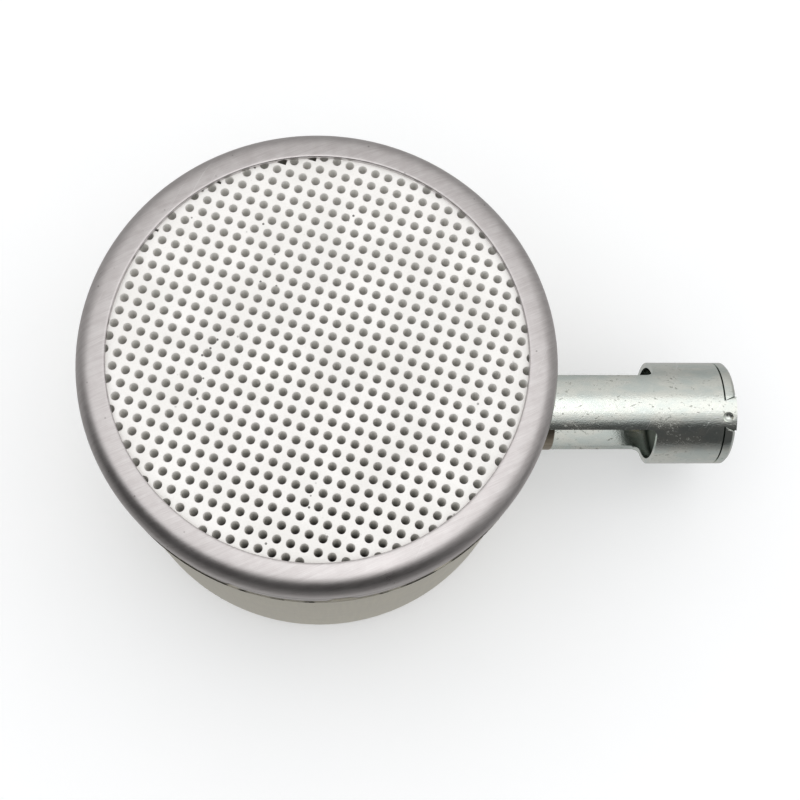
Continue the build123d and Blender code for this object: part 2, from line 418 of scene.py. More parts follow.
class Made:
    """A node that has been added, whose outputs are read by name."""

    def __init__(self, shader: "Shader", node: bpy.types.Node) -> None:
        """Keep the node and its shader."""
        self.shader = shader
        self.node = node

    def __getitem__(self, name: str) -> Sock:
        """The node's enabled output of that name."""
        for socket in self.node.outputs:
            if socket.name == name and socket.enabled:
                return Sock(self.shader, socket)
        raise KeyError(f"{self.node.bl_idname} has no output {name}")


Value = float | int | tuple | Sock


class Shader:
    """Builds one material from nodes."""

    def __init__(self, name: str) -> None:
        """Start an empty material.

        Args:
            name: The material's name.
        """
        self.material = bpy.data.materials.new(name)
        self.material.use_nodes = True
        self.tree = self.material.node_tree
        self.tree.nodes.clear()
        self.coordinates = self.add("ShaderNodeTexCoord", {}, {})["Object"]

    def add(self, kind: str, settings: dict[str, object], inputs: dict) -> Made:
        """Add one node.

        Args:
            kind: The node's type.
            settings: The node's own fields, set first.
            inputs: Values or links for sockets, by name or place.

        Returns:
            The node, whose outputs are read by name.
        """
        node = self.tree.nodes.new(kind)
        for field_name, value in settings.items():
            setattr(node, field_name, value)
        for key, value in inputs.items():
            socket = self._input(node, key)
            if isinstance(value, Sock):
                self.tree.links.new(value.socket, socket)
            else:
                socket.default_value = value
        return Made(self, node)

    @staticmethod
    def _input(node: bpy.types.Node, key: str | int) -> bpy.types.NodeSocket:
        """The node's enabled input of that name or place."""
        if isinstance(key, int):
            return node.inputs[key]
        for socket in node.inputs:
            if socket.name == key and socket.enabled:
                return socket
        raise KeyError(f"{node.bl_idname} has no input {key}")

    def place(
        self,
        scale: tuple,
        turn: tuple = (0, 0, 0),
        centre: tuple = (0, 0, 0),
        start: Sock | None = None,
    ) -> Sock:
        """Coordinates that are moved, turned and then scaled.

        Args:
            scale: Repeats per metre along each turned axis.
            turn: Turn about X, Y and Z in degrees.
            centre: The point that becomes the origin, in metres.
            start: The coordinates to start from, or the object's own.

        Returns:
            The mapped coordinates.
        """
        moved = self.add(
            "ShaderNodeVectorMath",
            {"operation": "SUBTRACT"},
            {0: start or self.coordinates, 1: centre},
        )["Vector"]
        turned = self.add(
            "ShaderNodeMapping", {}, {"Vector": moved, "Rotation": tuple(math.radians(a) for a in turn)}
        )["Vector"]
        return self.add("ShaderNodeVectorMath", {"operation": "MULTIPLY"}, {0: turned, 1: scale})["Vector"]

    def unrolled(self, top: float, radius: float) -> Sock:
        """Flat coordinates of a round pressing before its skirt was bent down.

        Args:
            top: Height of the pressing's flat face in metres.
            radius: Radius at which the sheet turns down, in metres.

        Returns:
            The place of each point on the flat sheet.
        """
        height = self.parts(self.coordinates)[2]
        spread = (top - height) / radius + 1.0
        flat = self.add(
            "ShaderNodeVectorMath", {"operation": "MULTIPLY"}, {0: self.coordinates, 1: (1, 1, 0)}
        )["Vector"]
        return self.add("ShaderNodeVectorMath", {"operation": "SCALE"}, {0: flat, "Scale": spread})["Vector"]

    def noise(
        self,
        scale: tuple,
        turn: tuple = (0, 0, 0),
        start: Sock | None = None,
        detail: float = 3.0,
        rough: float = 0.5,
    ) -> Sock:
        """Cloudy noise from 0 to 1.

        Args:
            scale: Repeats per metre along each turned axis.
            turn: Turn about X, Y and Z in degrees.
            start: The coordinates to start from, or the object's own.
            detail: Octaves.
            rough: Strength of the finer octaves.

        Returns:
            The noise value.
        """
        vector = self.place(scale, turn, start=start)
        inputs = {"Vector": vector, "Scale": 1.0, "Detail": detail, "Roughness": rough}
        return self.add("ShaderNodeTexNoise", {}, inputs)["Fac"]

    def spots(self, scale: tuple) -> Sock:
        """Distance to the nearest of many scattered spots, by repeats per metre."""
        inputs = {"Vector": self.place(scale), "Scale": 1.0, "Randomness": 1.0}
        return self.add("ShaderNodeTexVoronoi", {}, inputs)["Distance"]

    def parts(self, vector: Sock) -> tuple[Sock, Sock, Sock]:
        """The X, Y and Z of a vector."""
        made = self.add("ShaderNodeSeparateXYZ", {}, {"Vector": vector})
        return made["X"], made["Y"], made["Z"]

    def mix(self, mask: Value, low: Value, high: Value) -> Sock:
        """Blend two colours.

        Args:
            mask: 0 gives low, 1 gives high.
            low: Colour or link.
            high: Colour or link.

        Returns:
            The blended colour.
        """
        settings = {"data_type": "RGBA", "clamp_factor": True}
        return self.add("ShaderNodeMix", settings, {0: mask, 6: low, 7: high})["Result"]

    def tint(self, colour: Value, strength: Value) -> Sock:
        """Multiply a colour by a grey strength."""
        made = self.add("ShaderNodeVectorMath", {"operation": "SCALE"}, {0: colour, "Scale": strength})
        return made["Vector"]

    def bump(self, height: Sock, depth: float, before: Sock | None = None) -> Sock:
        """Turn a height into a normal.

        Args:
            height: Height from 0 to 1.
            depth: Depth of the relief in millimetres.
            before: A normal to build on.

        Returns:
            The bumped normal.
        """
        inputs = {"Height": height, "Distance": depth * MM, "Strength": 1.0}
        if before is not None:
            inputs["Normal"] = before
        return self.add("ShaderNodeBump", {}, inputs)["Normal"]

    def metal(self, colour: Sock, rough: Sock, normal: Sock) -> bpy.types.Material:
        """Close a bare metal's material.

        Args:
            colour: The metal's colour.
            rough: Its roughness.
            normal: Its bumped normal.

        Returns:
            The material.
        """
        return self.finish(Base_Color=colour, Metallic=1.0, Roughness=rough, Normal=normal)

    def finish(self, **sockets: Value) -> bpy.types.Material:
        """Close the material with one shader.

        Args:
            **sockets: Principled inputs, with underscores for spaces.

        Returns:
            The finished material.
        """
        inputs = {name.replace("_", " "): value for name, value in sockets.items()}
        surface = self.add("ShaderNodeBsdfPrincipled", {}, inputs)["BSDF"]
        self.add("ShaderNodeOutputMaterial", {}, {"Surface": surface})
        return self.material


def grey(value: float, warm: float = 0.0) -> tuple[float, float, float, float]:
    """A near-grey colour.

    Args:
        value: Brightness.
        warm: Above 0 leans to red, below 0 leans to blue.

    Returns:
        Red, green, blue and alpha.
    """
    return (value * (1 + warm), value, value * (1 - warm), 1.0)


@dataclass(frozen=True)
class BrushedStainless:
    """Stainless sheet, brushed in one direction before it was pressed."""

    bright: tuple = (0.672, 0.650, 0.652, 1.0)
    dull: tuple = (0.520, 0.490, 0.492, 1.0)
    brush_turn: float = -24.0
    roughness: float = 0.34
    line_depth: float = 0.008

    def make(self, name: str, top: float, radius: float) -> bpy.types.Material:
        """Build the material.

        Args:
            name: The material's name.
            top: Height of the flat face in metres.
            radius: Radius at which the sheet turns down, in metres.

        Returns:
            The material.
        """
        shader = Shader(name)
        sheet = shader.unrolled(top, radius)
        turn = (0, 0, self.brush_turn)
        fine = shader.noise((330, 11500, 1), turn, start=sheet, detail=2.0, rough=0.6)
        broad = shader.noise((70, 1900, 1), turn, start=sheet, detail=3.0, rough=0.55)
        cloud = shader.noise((150, 150, 150), detail=4.0, rough=0.6)
        mottle = shader.noise((560, 560, 560), detail=3.0, rough=0.6)
        pits = shader.spots((420, 420, 420)).step(0.075, 0.03)
        cross = (0, 0, self.brush_turn - 41)
        scratches = shader.noise((40, 5200, 1), cross, start=sheet, detail=1.0).step(0.71, 0.77)
        tone = (fine * 0.4 + broad * 0.3 + mottle * 0.3).step(0.32, 0.68)
        colour = shader.mix(tone, self.dull, self.bright)
        colour = shader.mix(pits * 0.55, colour, grey(0.16, 0.05))
        colour = shader.mix(scratches * 0.3, colour, grey(0.82))
        rough = self.roughness + (fine - 0.5) * 0.16 + (cloud - 0.5) * 0.14 + (mottle - 0.5) * 0.12
        normal = shader.bump(fine + broad * 0.5 + scratches * 0.2, self.line_depth)
        normal = shader.bump(cloud + mottle * 0.25, 0.010, normal)
        return shader.metal(colour, rough.most(0.16), normal)


@dataclass(frozen=True)
class DrawnStainless:
    """Satin side of a deep-drawn can, with faint draw marks."""

    bright: tuple = (0.80, 0.775, 0.675, 1.0)
    dull: tuple = (0.66, 0.635, 0.54, 1.0)
    roughness: float = 0.40
    # Height over which the painted crevice shade under the ring fades in, in metres.
    seam_shade_fade: float = 0.00006

    def make(self, name: str, seam: float) -> bpy.types.Material:
        """Build the material.

        Args:
            name: The material's name.
            seam: Height above which painted shade darkens the crevice under the ring, in metres.

        Returns:
            The material.
        """
        shader = Shader(name)
        height = shader.parts(shader.coordinates)[2]
        # Painted shade: the crevice under the rim's skirt is darkened to near black, in noisy patches.
        seam_shade_patches = shader.noise((200, 200, 60), detail=3.0, rough=0.65).step(0.47, 0.57)
        seam_shade = height.step(seam, seam + self.seam_shade_fade) * (seam_shade_patches * 0.75 + 0.25)
        draw_marks = shader.noise((1500, 1500, 90), detail=3.0, rough=0.6)
        rings = shader.noise((30, 30, 2600), detail=2.0)
        cloud = shader.noise((110, 110, 110), detail=4.0, rough=0.6)
        grain = shader.noise((5200, 5200, 5200), detail=1.0)
        scuffs = shader.noise((260, 260, 3600), (18, 24, 0), detail=1.0).step(0.66, 0.74)
        pits = shader.spots((430, 430, 430)).step(0.07, 0.03)
        tone = (draw_marks * 0.4 + rings * 0.08 + cloud * 0.52).step(0.28, 0.74)
        colour = shader.mix(tone, self.dull, self.bright)
        colour = shader.mix(pits * 0.5, colour, grey(0.15, 0.08))
        colour = shader.mix(scuffs * 0.25, colour, grey(0.8))
        # Painted shade in the crevice under the ring.
        colour = shader.mix(seam_shade, colour, grey(0.03, 0.1))
        rough = self.roughness + seam_shade * 0.3 + (cloud - 0.5) * 0.2
        rough = rough + (draw_marks - 0.5) * 0.16 + (grain - 0.5) * 0.08
        normal = shader.bump(draw_marks * 0.45 + grain * 0.35 + scuffs * 0.4, 0.005)
        normal = shader.bump(cloud, 0.02, normal)
        return shader.metal(colour, rough.most(0.22), normal)


@dataclass(frozen=True)
class ZincPlate:
    """Bright zinc plating on drawn tube, faintly blue and pitted, with painted shade inside the bore."""

    blue: tuple = (0.68, 0.745, 0.72, 1.0)
    pale: tuple = (0.80, 0.825, 0.775, 1.0)
    # Painted shade for the inside of the bore.
    inside: tuple = (0.12, 0.145, 0.125, 1.0)
    roughness: float = 0.16
    # Widths over which the painted bore shade fades in, in metres.
    bore_shade_fade: float = 0.00012
    bore_shade_end_fade: float = 0.0008

    def make(self, name: str, centre: tuple, bore: float, deep: float) -> bpy.types.Material:
        """Build the material.

        Args:
            name: The material's name.
            centre: A point on the sleeve's axis, which runs along X, in metres.
            bore: Radius inside which the plating is darkened by painted shade, in metres.
            deep: Place along X where the painted shade inside the bore starts, in metres.

        Returns:
            The material.
        """
        shader = Shader(name)
        cloud = shader.noise((210, 420, 420), detail=4.0, rough=0.6)
        orange_peel = shader.noise((1700, 2100, 2100), detail=2.0)
        grain = shader.noise((4200, 5200, 5200), detail=2.0, rough=0.6)
        drawn = shader.noise((120, 4200, 4200), detail=2.0)
        scratches = shader.noise((5200, 260, 260), (0, 0, 34), detail=1.0).step(0.68, 0.75)
        nicks = shader.noise((300, 5200, 300), (27, 0, 16), detail=1.0).step(0.70, 0.76)
        worn = cloud.step(0.48, 0.60)
        flakes = shader.noise((1500, 2300, 2300), (0, 0, 28), detail=4.0, rough=0.7)
        pits = flakes.step(0.585, 0.665) * worn
        gouges = shader.noise((620, 2600, 2600), (0, 0, -21), detail=3.0, rough=0.6).step(0.67, 0.72)
        along, across, height = shader.parts(shader.place((1, 1, 1), centre=centre))
        radius = (across * across + height * height) ** 0.5
        # Painted shade: everything inside the bore's radius, from just past the windows to the end, is
        # darkened and dulled.
        dull = radius.step(bore + self.bore_shade_fade, bore) * along.step(deep, deep + self.bore_shade_end_fade)
        colour = shader.mix(cloud.step(0.35, 0.65), self.blue, self.pale)
        colour = shader.mix((pits * 0.7 + gouges * 0.6).least(0.85), colour, (0.17, 0.185, 0.16, 1.0))
        colour = shader.mix((scratches + nicks) * 0.45, colour, grey(0.93, -0.01))
        colour = shader.mix(dull, colour, self.inside)
        rough = self.roughness + (cloud - 0.5) * 0.2 + (grain - 0.5) * 0.1 + pits * 0.2 + dull * 0.3
        relief = grain + drawn * 0.2 + orange_peel * 0.4 - pits * 0.8 - gouges - scratches * 0.3
        normal = shader.bump(relief, 0.016)
        normal = shader.bump(cloud, 0.004, normal)
        return shader.metal(colour, rough.most(0.10), normal)


@dataclass(frozen=True)
class BurnerCeramic:
    """White porous plaque, with painted shade inside its holes and a faint painted glow near their mouths.
    """

    face: tuple = (0.95, 0.925, 0.895, 1.0)
    shade: tuple = (0.86, 0.835, 0.80, 1.0)
    # Painted shade for the holes' insides.
    bore: tuple = (0.72, 0.705, 0.68, 1.0)
    # Painted light: a faint glow in the holes' upper part.
    bore_glow: tuple = (0.030, 0.030, 0.028)
    speck: tuple = (0.06, 0.055, 0.05, 1.0)
    glow_start: float = 0.007
    glow_full: float = 0.001

    def make(self, name: str, top: float, chamfer: float) -> bpy.types.Material:
        """Build the material.

        Args:
            name: The material's name.
            top: Height of the burning face in metres.
            chamfer: Depth of the holes' rounded mouths in metres.

        Returns:
            The material.
        """
        shader = Shader(name)
        height = shader.parts(shader.coordinates)[2]
        inside = height.step(top - 0.4 * chamfer, top - 3.5 * chamfer)
        grain = shader.noise((4200, 4200, 4200), detail=3.0, rough=0.65)
        cloud = shader.noise((160, 160, 160), detail=4.0)
        cells = shader.spots((620, 620, 620))
        specks = cells.step(0.13, 0.07) * shader.noise((90, 90, 90)).step(0.55, 0.62)
        pores = shader.spots((3100, 3100, 3100)).step(0.22, 0.08)
        colour = shader.mix((cloud * 0.6 + grain * 0.4).step(0.35, 0.68), self.shade, self.face)
        colour = shader.mix(specks * 0.9, colour, self.speck)
        # The pores take a little of the painted bore shade.
        colour = shader.mix(pores * 0.18, colour, self.bore)
        # Painted shade: the holes' insides below their mouths take the darker bore colour.
        colour = shader.mix(inside, colour, self.bore)
        normal = shader.bump(grain * 0.7 - pores * 0.5 - specks * 0.6, 0.03)
        # Painted light: the holes' upper walls glow faintly.
        painted_bore_light = inside * height.step(top - self.glow_start, top - self.glow_full)
        return shader.finish(
            Base_Color=colour,
            Metallic=0.0,
            Roughness=0.92,
            Normal=normal,
            Emission_Color=shader.tint(self.bore_glow, painted_bore_light),
            Emission_Strength=1.0,
        )


@dataclass(frozen=True)
class TubeSteel:
    """Thin drawn tube with a faint brown tint."""

    # Both tones are kept dark as painted shade for the tube inside the sleeve.
    bright: tuple = (0.36, 0.315, 0.25, 1.0)
    dark: tuple = (0.20, 0.17, 0.13, 1.0)

    def make(self, name: str) -> bpy.types.Material:
        """Build the material.

        Args:
            name: The material's name.

        Returns:
            The material.
        """
        shader = Shader(name)
        drawn = shader.noise((160, 3600, 3600), detail=3.0)
        cloud = shader.noise((420, 420, 420), detail=4.0)
        grain = shader.noise((5200, 5200, 5200), detail=1.0)
        colour = shader.mix((drawn * 0.4 + cloud * 0.6).step(0.35, 0.65), self.dark, self.bright)
        rough = 0.36 + (cloud - 0.5) * 0.3 + (grain - 0.5) * 0.1
        normal = shader.bump(drawn * 0.5 + grain * 0.3 + cloud * 0.6, 0.008)
        return shader.metal(colour, rough.most(0.2), normal)


@dataclass(frozen=True)
class PressedSteel:
    """Plain pressed sheet steel of the hidden inner pieces."""

    base: tuple = grey(0.55, 0.01)
    worn: tuple = grey(0.40, 0.03)
    grain_size: float = 2600.0
    roughness: float = 0.42

    def make(self, name: str) -> bpy.types.Material:
        """Build the material.

        Args:
            name: The material's name.

        Returns:
            The material.
        """
        shader = Shader(name)
        rolled = shader.noise((140, self.grain_size, 140), detail=2.0)
        cloud = shader.noise((240, 240, 240), detail=4.0)
        spots = shader.spots((700, 700, 700)).step(0.14, 0.05)
        colour = shader.mix(cloud.step(0.35, 0.65), self.worn, self.base)
        colour = shader.mix(spots * 0.5, colour, grey(0.2, 0.1))
        rough = self.roughness + (rolled - 0.5) * 0.2 + (cloud - 0.5) * 0.2
        normal = shader.bump(rolled * 0.6 + cloud * 0.4, 0.006)
        return shader.metal(colour, rough.most(0.2), normal)


@dataclass(frozen=True)
class CeramicFibre:
    """Pressed ceramic-fibre felt."""

    light: tuple = (0.86, 0.84, 0.79, 1.0)
    dark: tuple = (0.66, 0.62, 0.54, 1.0)

    def make(self, name: str) -> bpy.types.Material:
        """Build the material.

        Args:
            name: The material's name.

        Returns:
            The material.
        """
        shader = Shader(name)
        strands = shader.noise((900, 5200, 2600), (11, 23, 37), detail=3.0, rough=0.7)
        crossing = shader.noise((5200, 800, 2600), (0, 17, -21), detail=3.0, rough=0.7)
        lumps = shader.noise((520, 520, 520), detail=4.0)
        tone = (strands * 0.4 + crossing * 0.4 + lumps * 0.2).step(0.35, 0.65)
        colour = shader.mix(tone, self.dark, self.light)
        normal = shader.bump(strands * 0.5 + crossing * 0.5 + lumps, 0.05)
        return shader.finish(Base_Color=colour, Metallic=0.0, Roughness=0.96, Normal=normal)


@dataclass(frozen=True)
class TurnedMetal:
    """A small turned piece, with fine rings about the sleeve's axis."""

    bright: tuple
    dark: tuple
    ring_pitch: float = 9000.0
    roughness: float = 0.26

    def make(self, name: str, centre: tuple) -> bpy.types.Material:
        """Build the material.

        Args:
            name: The material's name.
            centre: A point on the turning axis, which runs along X, in metres.

        Returns:
            The material.
        """
        shader = Shader(name)
        across = shader.parts(shader.place((0, 1, 1), centre=centre))
        radius = (across[1] * across[1] + across[2] * across[2]) ** 0.5
        rings = shader.add(
            "ShaderNodeTexNoise", {"noise_dimensions": "1D"}, {"W": radius * self.ring_pitch, "Detail": 2.0}
        )["Fac"]
        cloud = shader.noise((520, 520, 520), detail=4.0)
        grain = shader.noise((5200, 5200, 5200), detail=1.0)
        colour = shader.mix((rings * 0.4 + cloud * 0.6).step(0.35, 0.65), self.dark, self.bright)
        rough = self.roughness + (cloud - 0.5) * 0.2 + (grain - 0.5) * 0.1
        normal = shader.bump(rings * 0.6 + grain * 0.3, 0.006)
        return shader.metal(colour, rough.most(0.14), normal)


# ---------------------------------------------------------------- the object
def low(node: str) -> Vector:
    """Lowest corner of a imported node, in millimetres."""
    return Vector(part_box(node)[0]) / MM


def high(node: str) -> Vector:
    """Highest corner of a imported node, in millimetres."""
    return Vector(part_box(node)[1]) / MM


HEAD = Spindle(origin=(0, 0, 0), along=(0, 0, 1), out=(1, 0, 0))


class Assembly:
    """A group of pieces that is built, dressed and handed to its body."""

    def hand_over(
        self, piece: bpy.types.Object, node: str, slot: str, finish: bpy.types.Material
    ) -> None:
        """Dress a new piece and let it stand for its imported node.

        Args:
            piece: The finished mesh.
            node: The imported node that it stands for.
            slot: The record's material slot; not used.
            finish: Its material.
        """
        piece.data.materials.clear()
        piece.data.materials.append(finish)
        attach(piece, BODY)
        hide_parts(node)
        LOG.info("%s: %d faces", piece.name, len(piece.data.polygons))

    def dress_node(self, node: str, finish: bpy.types.Material) -> None:
        """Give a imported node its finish.

        Args:
            node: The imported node's name.
            finish: Its material.
        """
        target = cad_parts[node]
        target.data.materials.clear()
        target.data.materials.append(finish)
        LOG.info("%s keeps its packed shape", node)


@dataclass
class BurnerHead(Assembly):
    """Rim ring, plaque and can, with the seals, ledge and baffle inside. Millimetres."""

    turn_steps: int = 192
    rim_sheet: float = 0.6
    rim_band: float = 4.2
    rim_shoulder: float = 3.2
    rim_fall: float = 0.32
    rim_ease: float = 0.6
    rim_round: float = 2.3
    rim_edge_round: float = 0.22
    rim_taper: float = 0.22
    skirt_edge_slope: float = 0.25
    crease_below: float = 0.3
    crease_width: float = 0.3
    crease_depth: float = 0.12
    pinch: float = 0.22
    pinch_height: float = 0.2
    pinches: int = 26
    mark_seed: int = 11
    can_sheet: float = 0.6
    neck_gap: float = 0.1
    bead_rise: float = 0.36
    bead_height: float = 1.2
    bead_slope: float = 0.4
    lip_height: float = 0.12
    lip_width: float = 0.07
    lip_foot: float = 0.112
    # How far below the bead's lip the painted crevice shade starts, in millimetres.
    seam_shade_below: float = 0.03
    seam: float = 0.2
    can_corner: float = 3.0
    hole_pitch: float = 1.855
    hole_turn: float = -18.5
    hole_shift: tuple[float, float] = (0.6, -1.3)
    hole_diameter: float = 1.2
    hole_mouth: float = 0.05
    hole_margin: float = 1.05
    hole_sides: int = 20
    plaque_chamfer: float = 0.4

    def build_rim(self) -> bpy.types.Object:
        """Turn the rim ring, with a fine crease and a crimped lower edge.

        Returns:
            The rim ring.
        """
        outside = high("rim_ring").x
        top = high("rim_ring").z
        bottom = low("rim_ring").z
        opening = outside - self.rim_band
        inner = outside - self.rim_sheet
        crease = top - self.rim_shoulder - self.crease_below
        section = [
            Corner(top, opening, self.rim_edge_round, 3),
            Corner(top, outside - self.rim_shoulder, self.rim_ease, 5),
            Corner(top - self.rim_fall, outside, self.rim_round, 14),
            Corner(crease + self.crease_width / 2, outside),
            Corner(crease, outside - self.crease_depth),
            Corner(crease - self.crease_width / 2, outside),
            Corner(bottom, outside - self.rim_taper, 0.12, 2),
            Corner(bottom, inner - self.rim_taper + self.skirt_edge_slope),
            Corner(bottom + self.rim_shoulder, inner),
            Corner(top - self.rim_sheet, inner, self.rim_shoulder - self.rim_sheet, 8),
            Corner(top - self.rim_sheet, opening),
        ]
        rim = Bench.turn("rim_ring_shell", section, HEAD, self.turn_steps, 22)
        self._pinch_skirt(rim, bottom)
        return rim

    def _pinch_skirt(self, rim: bpy.types.Object, bottom: float) -> None:
        """Pinch the skirt's lower edge in here and there.

        Args:
            rim: The rim ring.
            bottom: Height of the skirt's lower edge.
        """
        chance = random.Random(self.mark_seed)
        Bench.take(rim)
        Bench.edit()
        marks = [(chance.uniform(0, 360), chance.uniform(1, 4)) for _ in range(self.pinches)]
        share = 1 - self.pinch / high("rim_ring").x
        for angle, half in marks:
            Bench.pick(Pick.VERTS, self._near_angle(angle, half, bottom + self.pinch_height))
            bpy.ops.transform.resize(value=(share, share, 1), center_override=(0, 0, 0))
        Bench.done()

    @staticmethod
    def _near_angle(angle: float, half: float, roof: float) -> Callable[[bmesh.types.BMVert], bool]:
        """A test for vertices below a height in one stretch of a ring, in degrees and millimetres."""

        def test(vertex: bmesh.types.BMVert) -> bool:
            """Whether the vertex lies in the stretch."""
            place = vertex.co / MM
            turn = (math.degrees(math.atan2(place.y, place.x)) - angle + 180) % 360 - 180
            return abs(turn) < half and place.z < roof

        return test

    def build_can(self, can_radius: float, sleeve_height: float, sleeve_radius: float) -> bpy.types.Object:
        """Turn the can with its bead, and cut the sleeve's hole in its side.

        Args:
            can_radius: Radius of the can's side.
            sleeve_height: Height of the sleeve's axis.
            sleeve_radius: Radius of the hole.

        Returns:
            The can.
        """
        top = high("burner_can").z
        bead = can_radius + self.bead_rise
        bead_top = low("rim_ring").z - self.seam
        bead_bottom = bead_top - self.bead_height
        lip_top = bead_top + self.lip_height
        neck = high("rim_ring").x - self.rim_sheet - self.neck_gap
        sheet = self.can_sheet
        section = [
            Corner(0, 0),
            Corner(0, can_radius, self.can_corner, 10),
            Corner(sleeve_height - sleeve_radius - 1, can_radius),
            Corner(sleeve_height + sleeve_radius + 1, can_radius),
            Corner(bead_bottom - self.bead_slope, can_radius),
            Corner(bead_bottom, bead, 0.4, 4),
            Corner(lip_top, bead, 0.08, 2),
            Corner(lip_top, bead - self.lip_width),
            Corner(bead_top - self.lip_height, bead - self.lip_foot),
            Corner(bead_top - self.lip_height, neck),
            Corner(top, neck),
            Corner(top, neck - sheet),
            Corner(bead_top - sheet, neck - sheet),
            Corner(bead_top - sheet, bead - sheet, 0.2, 2),
            Corner(bead_bottom, bead - sheet),
            Corner(bead_bottom - self.bead_slope, can_radius - sheet),
            Corner(sheet, can_radius - sheet, self.can_corner - sheet, 6),
            Corner(sheet, 0),
        ]
        can = Bench.turn("burner_can_shell", section, HEAD, self.turn_steps)
        Bench.clear()
        bpy.ops.mesh.primitive_cylinder_add(
            vertices=self.turn_steps // 2,
            radius=sleeve_radius * MM,
            depth=can_radius * MM,
            location=(can_radius * MM, 0, sleeve_height * MM),
            rotation=(0, math.radians(90), 0),
        )
        Bench.cut(can, bpy.context.object)
        Bench.shade(can, 32)
        return can

    def build_plaque(self) -> bpy.types.Object:
        """Build the pierced plaque from one cell, repeated, trimmed and mirrored.

        Returns:
            The plaque.
        """
        top = high("ceramic_plaque").z * MM
        middle = (high("ceramic_plaque").z + low("ceramic_plaque").z) / 2 * MM
        radius = high("ceramic_plaque").x
        pitch = self.hole_pitch * MM
        field = radius - self.hole_margin
        count = 2 * int(field / self.hole_pitch) + 5
        plaque = self._build_cell(top, middle)
        for offset in ((pitch, 0, 0), (0, pitch, 0)):
            Bench.apply(
                plaque,
                "ARRAY",
                count=count,
                use_relative_offset=False,
                use_constant_offset=True,
                constant_offset_displace=offset,
                use_merge_vertices=True,
                merge_threshold=1e-6,
            )
        half = (count // 2) * pitch
        Bench.take(plaque)
        plaque.location = (-half, -half, 0)
        bpy.ops.object.transform_apply(location=True, rotation=False, scale=False)
        plaque.rotation_euler = (0, 0, math.radians(self.hole_turn))
        bpy.ops.object.transform_apply(location=False, rotation=True, scale=False)
        plaque.location = (self.hole_shift[0] * MM, self.hole_shift[1] * MM, 0)
        bpy.ops.object.transform_apply(location=True, rotation=False, scale=False)
        self._trim_cells(field * MM)
        self._close_edge(top, middle, radius * MM)
        Bench.apply(
            plaque,
            "MIRROR",
            use_axis=(False, False, True),
            mirror_object=self._mirror_point(middle),
            use_mirror_merge=True,
            merge_threshold=1e-6,
        )
        bpy.data.objects.remove(bpy.data.objects["mirror_point"], do_unlink=True)
        Bench.take(plaque)
        bpy.ops.object.mode_set(mode="EDIT")
        return Bench.tidy(40)

    @staticmethod
    def _mirror_point(height: float) -> bpy.types.Object:
        """An empty at the mirror plane."""
        Bench.clear()
        bpy.ops.object.empty_add(location=(0, 0, height))
        point = bpy.context.object
        point.name = "mirror_point"
        return point

    def _build_cell(self, top: float, middle: float) -> bpy.types.Object:
        """One square cell's upper half: a square edge bridged to a rounded bore.

        Args:
            top: Height of the face in metres.
            middle: Height of the mirror plane in metres.

        Returns:
            The cell, centred on the Z axis.
        """
        pitch = self.hole_pitch * MM
        bore = self.hole_diameter / 2 * MM
        mouth = self.hole_mouth * MM
        per_side = self.hole_sides // 4
        Bench.clear()
        bpy.ops.mesh.primitive_grid_add(
            x_subdivisions=per_side, y_subdivisions=per_side, size=pitch, location=(0, 0, top)
        )
        cell = bpy.context.object
        cell.name = "ceramic_plaque_body"
        bpy.ops.object.transform_apply(location=True, rotation=False, scale=False)
        Bench.edit()
        edge = pitch / 2 * 0.999
        Bench.pick(Pick.VERTS, lambda v: max(abs(v.co.x), abs(v.co.y)) < edge)
        bpy.ops.mesh.delete(type="VERT")
        bpy.ops.mesh.select_all(action="SELECT")
        bpy.ops.mesh.delete(type="ONLY_FACE")
        bpy.ops.mesh.primitive_circle_add(
            vertices=self.hole_sides,
            radius=bore + mouth,
            location=(0, 0, top),
            rotation=(0, 0, math.radians(45)),
        )
        bpy.ops.mesh.select_all(action="SELECT")
        bpy.ops.mesh.bridge_edge_loops()
        wide = bore + 1.2 * mouth
        rings = ((bore + 0.3 * mouth, 0.3 * mouth), (bore, mouth), (bore, top - middle))
        before = bore + mouth
        depth = 0.0
        Bench.pick(Pick.VERTS, lambda v: v.co.xy.length < wide)
        for ring_radius, ring_depth in rings:
            bpy.ops.mesh.extrude_region_move(TRANSFORM_OT_translate={"value": (0, 0, depth - ring_depth)})
            share = ring_radius / before
            bpy.ops.transform.resize(value=(share, share, 1), center_override=(0, 0, 0))
            before = ring_radius
            depth = ring_depth
        Bench.done()
        return cell

    def _trim_cells(self, field: float) -> None:
        """Delete the cells whose holes lie outside the round field.

        Args:
            field: Radius of the field in metres.
        """
        turn = math.radians(self.hole_turn)
        pitch = self.hole_pitch * MM
        shift = Vector(self.hole_shift) * MM

        def outside(face: bmesh.types.BMFace) -> bool:
            """Whether the face's own cell is outside the field."""
            place = face.calc_center_median().xy - shift
            column = round((place.x * math.cos(turn) + place.y * math.sin(turn)) / pitch)
            row = round((place.y * math.cos(turn) - place.x * math.sin(turn)) / pitch)
            x = pitch * (column * math.cos(turn) - row * math.sin(turn)) + shift.x
            y = pitch * (column * math.sin(turn) + row * math.cos(turn)) + shift.y
            return math.hypot(x, y) > field

        Bench.edit(Pick.FACES)
        Bench.pick(Pick.FACES, outside)
        bpy.ops.mesh.delete(type="FACE")
        Bench.done()

